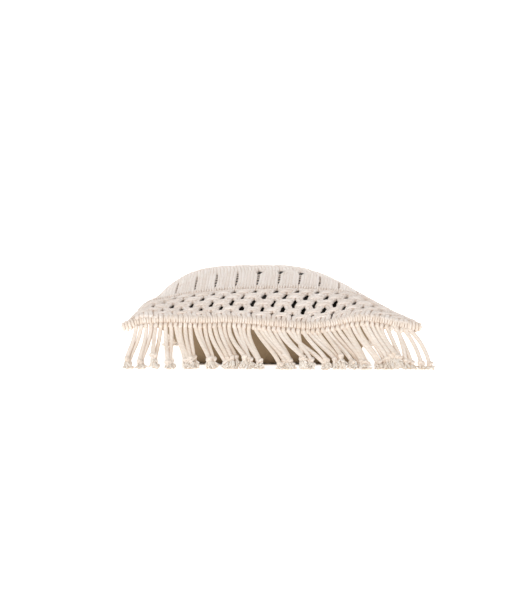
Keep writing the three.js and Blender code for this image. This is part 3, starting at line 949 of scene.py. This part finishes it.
def inflate(pad, before):
    """Swells the pad as cloth under pressure; returns how far each point moved."""
    pins = pad.vertex_groups.new(name="rim")
    reach = np.maximum(np.abs(before[:, 0]) / PINNED_HALF, np.abs(before[:, 1]) / PINNED_HALF)
    rim = np.clip((reach - PINNED_FROM) / PINNED_OVER, 0, 1)
    for i in np.nonzero(rim > 0)[0]:
        pins.add([int(i)], float(rim[i]), "REPLACE")
    cloth = pad.modifiers.new("cloth", "CLOTH")
    cloth.settings.quality = 4
    cloth.settings.mass = 0.3
    cloth.settings.tension_stiffness = 12
    cloth.settings.compression_stiffness = 12
    cloth.settings.bending_stiffness = 0.25
    cloth.settings.use_pressure = True
    cloth.settings.uniform_pressure_force = PRESSURE
    cloth.settings.shrink_min = -0.05
    cloth.settings.vertex_group_mass = "rim"
    cloth.settings.effector_weights.gravity = 0.0
    cloth.point_cache.frame_start = 1
    cloth.point_cache.frame_end = FRAMES
    scene = bpy.context.scene
    for frame_number in range(1, FRAMES + 1):
        scene.frame_set(frame_number)
    apply_modifiers(pad)
    scene.frame_set(1)
    moved = coordinates(pad.data) - before
    far = np.linalg.norm(moved, axis=1, keepdims=True)
    return moved * np.minimum(1, FARTHEST / np.maximum(far, 1e-9))


def make_pad():
    """Stuffed pad in its sewing form, with the form's points and how far the cloth
    moves there."""
    us, vs = even(PAD_U, 70), even(PAD_V, 70)
    upper = shell(us, vs, top, PAD_TOP_DEPTH, -1)
    lower = shell(us, vs, under, PAD_BASE_DEPTH, 1)
    lower[..., 2] = np.minimum(lower[..., 2], upper[..., 2] - THINNEST)
    pad = new_object("stuffed_pad", *between(upper, lower), TICKING)
    remesh = pad.modifiers.new("remesh", "REMESH")
    remesh.mode = "VOXEL"
    remesh.voxel_size = VOXEL
    apply_modifiers(pad)
    pad.data.materials.clear()
    pad.data.materials.append(TICKING)
    before = coordinates(pad.data)
    moved = inflate(pad, before)
    return pad, before, moved


def settle(pad, before, moved):
    """Keeps the pad inside its cover: outward bulges are held, dents stay."""
    outward = np.empty(len(before) * 3)
    pad.data.vertices.foreach_get("normal", outward)
    outward = outward.reshape(-1, 3)
    along = (moved * outward).sum(1, keepdims=True)
    along = along - np.median(along)
    held = np.clip(along, DENT, SWELL)
    pad.data.vertices.foreach_set("co", (before + outward * held).ravel())
    pad.data.update()
    return along


def field(before, along):
    """Reads the cloth's rise or dent, in mm, at any point near the pad."""
    tree = KDTree(len(before))
    for i, p in enumerate(before):
        tree.insert(p, i)
    tree.balance()

    def read(points):
        out = np.empty(len(points))
        for i, p in enumerate(points * MM):
            total = weight = 0.0
            for _, k, dist in tree.find_n(p, 5):
                w = 1 / (dist + 1e-4)
                total += w * along[k, 0]
                weight += w
            out[i] = total / weight * 1000
        return out

    return read


pad, before, moved = make_pad()
along = settle(pad, before, moved)
ripple = field(before, along)
smooth_pad = pad.modifiers.new("smooth", "SUBSURF")
smooth_pad.levels = smooth_pad.render_levels = 1
apply_modifiers(pad)
pad.data.polygons.foreach_set("use_smooth", np.ones(len(pad.data.polygons), bool))
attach(pad, "cushion")
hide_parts("fibre_filling", "pad_casing_top", "pad_casing_bottom")


def rippled(points, normals, low, high):
    """Points moved along their normals by the cloth's ripples, held between limits."""
    flat = points.reshape(-1, 3)
    rise = np.clip(ripple(flat), low, high).reshape(points.shape[:2])
    return points + normals * rise[..., None]


def seam_ring(points, drop_z, out):
    """Adds a border to a grid that turns down (or up) to the seam line."""
    grown = np.pad(points, ((1, 1), (1, 1), (0, 0)), mode="edge")
    rows, cols = grown.shape[:2]
    for r in range(rows):
        for c in range(cols):
            if 0 < r < rows - 1 and 0 < c < cols - 1:
                continue
            p = grown[r, c]
            sx = (c == cols - 1) - (c == 0)
            sy = (r == rows - 1) - (r == 0)
            rise = float(wave(np.array(p[0]), p[1] / HALF))
            grown[r, c] = [p[0] + out * sx, p[1] + out * sy, drop_z + rise]
    return grown


def make_lining():
    """Canvas under the knotwork, near-black as painted shade for the holes, swollen a little into the open
    holes.
    """
    us, vs = even(RIM_U, 150), even(RIM_V, 150)
    u, v = np.meshgrid(us, vs)
    n = up_normal(top, u, v)
    outer = rippled(top(u, v) - n * LINING_DEPTH, n, -5.0, 0.2)
    for hole in SLIT_HOLES:
        for side in (-1, 1):
            across = np.array([-side * (hole + HOLE_SHIFT)])
            at, _ = on_cover(across, np.array([side * HOLE_V]), np.zeros(1))
            away = np.hypot(outer[..., 0] - at[0, 0], outer[..., 1] - at[0, 1])
            outer = outer + n * (HOLE_RISE * np.exp(-((away / HOLE_REACH) ** 2)))[..., None]
    inner = outer - n * CANVAS
    outer = seam_ring(outer, SEAM + 0.5, 1.4)
    inner = seam_ring(inner, SEAM + 0.5, 0.2)
    return new_object("canvas_lining", *between(outer, inner), LINING_PAINTED_SHADE)


def make_base(name, vs, zip_rows):
    """Canvas panel underneath; the rows named in zip_rows bend round the zip's slot."""
    slot_ends = [-ZIP_HALF_U, ZIP_HALF_U, -ZIP_HALF_U - 0.004, ZIP_HALF_U + 0.004]
    us = np.unique(np.concatenate([even(RIM_U, 121), slot_ends]))
    u, v = np.meshgrid(us, vs)
    slot = np.abs(u) <= ZIP_HALF_U
    for row, direction in zip_rows:
        v[row] = np.where(slot[row], ZIP_V + direction * SLOT_HALF_V, ZIP_V + direction * 0.001)
    n = up_normal(under, u, v)
    clear_of_zip = np.clip((0.82 - v) / 0.08, 0, 1)
    points = under(u, v)
    height = points[..., 2]
    free = np.clip((height - 1.0) / 14.0, 0, 1)
    creases = 1.3 * np.sin(u * 21 + 3 * np.sin(v * 5)) * np.exp(-(((height - 30) / 20) ** 2))
    rise = -ripple(points.reshape(-1, 3)).reshape(u.shape) * 1.2 + creases
    outer = points + n * (np.clip(rise, -4, 4) * free * clear_of_zip)[..., None]
    outer[..., 2] = np.maximum(outer[..., 2], FLOOR_GAP)
    inner = outer + n * BASE_CANVAS
    return new_object(name, *between(inner, outer), KHAKI)


lining = make_lining()
front_rows = np.append(np.linspace(-RIM_V, ZIP_V - SLOT_HALF_V - 0.012, 105), ZIP_V)
base_front = make_base("canvas_base_front", front_rows, [(-1, -1)])
base_rear = make_base("canvas_base_rear", np.array([ZIP_V, 0.93, 0.943, RIM_V]), [(0, 1)])
for obj, node, material in (
    (lining, "cover_lining", "lining_canvas"),
    (base_front, "base_panel_front", "base_canvas"),
    (base_rear, "base_panel_rear", "base_canvas"),
):
    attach(obj, "cushion")
    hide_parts(node)


# ---------------------------------------------------------------- carried CAD nodes
def paint(node, material):
    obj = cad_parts[node]
    obj.data.materials.clear()
    obj.data.materials.append(material)


for node in ("teeth_front", "teeth_rear", "stop_left", "stop_right", "slider", "pull_tab"):
    paint(f"zip_{node}", BRASS)
for node in ("tape_front", "tape_rear"):
    paint(f"zip_{node}", TAPE)

# ---------------------------------------------------------------- studio
WHITE = (0.97, 0.97, 0.97)
# colour of the shadow painted on the floor under the cushion
PAINTED_FLOOR_SHADOW = (0.05, 0.035, 0.025)
FLOOR_GLOW, FLOOR_HALF, FLOOR_DROP = 0.8, 14.0, 0.0006
PAINTED_SHADOW_HALF = (0.14, 0.168)  # half the size of the shadow painted on the floor under the cushion
CARD_HALF, CARD_Y, CARD_FOOT, CARD_TOP = 9.0, 3.4, -0.1, 5.0
WORLD_LIGHT = 0.38


def stage_card(name, corners, material):
    """One flat face of the studio."""
    mesh = bpy.data.meshes.new(name)
    mesh.from_pydata(corners, [], [(0, 1, 2, 3)])
    mesh.materials.append(material)
    obj = bpy.data.objects.new(name, mesh)
    bpy.context.scene.collection.objects.link(obj)
    return obj


def floor():
    """White floor that glows a little, except where the cushion sits on it; there a shadow is painted dark
    into its colour.
    """
    mat, tree, bsdf = node_material("studio_floor")
    bsdf.inputs["Roughness"].default_value = 0.9
    bsdf.inputs["Emission Color"].default_value = (1, 1, 1, 1)
    coords = tree.nodes.new("ShaderNodeTexCoord")
    sep = tree.nodes.new("ShaderNodeSeparateXYZ")
    link(tree, coords.outputs["Object"], sep.inputs[0])
    over = [
        math_node(tree, "DIVIDE", math_node(tree, "ABSOLUTE", sep.outputs[k]), size)
        for k, size in enumerate(PAINTED_SHADOW_HALF)
    ]
    reach = math_node(tree, "MAXIMUM", *over)
    # painted shadow: the floor's colour is dark under the cushion and white beyond
    outside_painted_shadow = times(tree, minus(tree, reach, 0.8), 9.0, clamp=True)
    link(tree, mix(tree, outside_painted_shadow, PAINTED_FLOOR_SHADOW, WHITE), bsdf.inputs["Base Color"])
    glow = times(tree, minus(tree, reach, 1.0), 6.0, clamp=True)
    link(tree, times(tree, glow, FLOOR_GLOW), bsdf.inputs["Emission Strength"])
    s = FLOOR_HALF
    obj = stage_card("studio_floor", [(-s, -s, 0), (s, -s, 0), (s, s, 0), (-s, s, 0)], mat)
    obj.location.z = -FLOOR_DROP


def backdrop():
    """White card behind the cushion."""
    mat, _, bsdf = node_material("studio_backdrop")
    bsdf.inputs["Base Color"].default_value = (*WHITE, 1)
    bsdf.inputs["Roughness"].default_value = 1.0
    bsdf.inputs["Emission Color"].default_value = (1, 1, 1, 1)
    bsdf.inputs["Emission Strength"].default_value = 1.0
    w, y, foot, head = CARD_HALF, CARD_Y, CARD_FOOT, CARD_TOP
    stage_card("studio_backdrop", [(-w, y, foot), (w, y, foot), (w, y, head), (-w, y, head)], mat)


def area_light(name, location, target, size, power):
    data = bpy.data.lights.new(name, "AREA")
    data.size = size
    data.energy = power
    obj = bpy.data.objects.new(name, data)
    bpy.context.scene.collection.objects.link(obj)
    obj.location = location
    toward = Vector(target) - Vector(location)
    obj.rotation_euler = toward.to_track_quat("-Z", "Y").to_euler()


floor()
backdrop()
area_light("key", (-0.9, -2.1, 1.5), (0, 0, 0.08), 1.8, 22)
area_light("fill", (1.7, -1.6, 1.1), (0, 0, 0.08), 1.8, 5)
area_light("overhead", (0.1, 0.2, 2.4), (0, 0, 0.1), 2.4, 10)

world = bpy.data.worlds.new("studio")
bpy.context.scene.world = world
world.use_nodes = True
world.node_tree.nodes["Background"].inputs[0].default_value = (1, 1, 1, 1)
world.node_tree.nodes["Background"].inputs[1].default_value = WORLD_LIGHT
bpy.context.scene.view_settings.view_transform = "Standard"

AZIMUTH, ELEVATION, DISTANCE, LENS = 1.0, 1.8, 2.2, 68.6  # degrees, m, mm
TARGET = (-0.0185, -0.05, 0.1130)
cam_data = bpy.data.cameras.new("camera")
cam_data.lens = LENS
cam_data.sensor_width = 36.0
cam = bpy.data.objects.new("camera", cam_data)
bpy.context.scene.collection.objects.link(cam)
az, el = math.radians(AZIMUTH), math.radians(ELEVATION)
look = np.array([-math.sin(az) * math.cos(el), math.cos(az) * math.cos(el), -math.sin(el)])
cam.location = np.array(TARGET) - look * DISTANCE
cam.rotation_euler = (math.pi / 2 - el, 0.0, az)
bpy.context.scene.camera = cam
